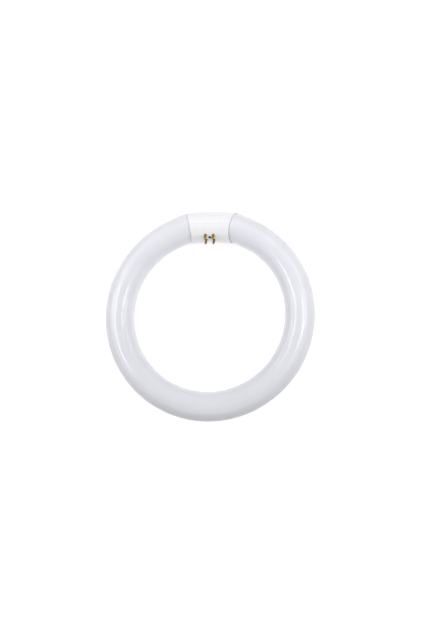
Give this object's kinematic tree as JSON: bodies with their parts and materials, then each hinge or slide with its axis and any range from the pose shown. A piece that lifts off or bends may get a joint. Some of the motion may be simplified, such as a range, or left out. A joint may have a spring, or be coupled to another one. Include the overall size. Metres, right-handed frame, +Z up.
{
  "type": "circular fluorescent tube",
  "caption": "Ring-shaped fluorescent lamp: a white coated glass tube bent to a circle, closed by a moulded base whose brass contact pins point to the ring's centre.",
  "frame": {"origin": "centre of the bottom face of the bounding box: on the ring's axis, at the height of the surface the lamp lies on", "axes": "+Z up, along the ring's axis, toward the side that the pins lean to; +Y from the ring's centre toward the base; +X to the right of a viewer who looks down with the base at the top"},
  "size_m": [0.21, 0.21, 0.031],
  "materials": {
    "coated_glass": "clear gloss glass over an opaque white coating on the inside",
    "white_plastic": "semi-gloss white moulding",
    "pin_brass": "bare brass, slightly dull",
    "lead_metal": "tinned wire"
  },
  "bodies": {
    "root": {"glass_tube": "coated_glass", "base_outer_shell": "white_plastic", "base_inner_shell": "white_plastic", "contact_pin_lower_left": "pin_brass", "contact_pin_lower_right": "pin_brass", "contact_pin_upper_left": "pin_brass", "contact_pin_upper_right": "pin_brass", "lead_wire_lower_left": "lead_metal", "lead_wire_lower_right": "lead_metal", "lead_wire_upper_left": "lead_metal", "lead_wire_upper_right": "lead_metal"}
  },
  "joints": []
}
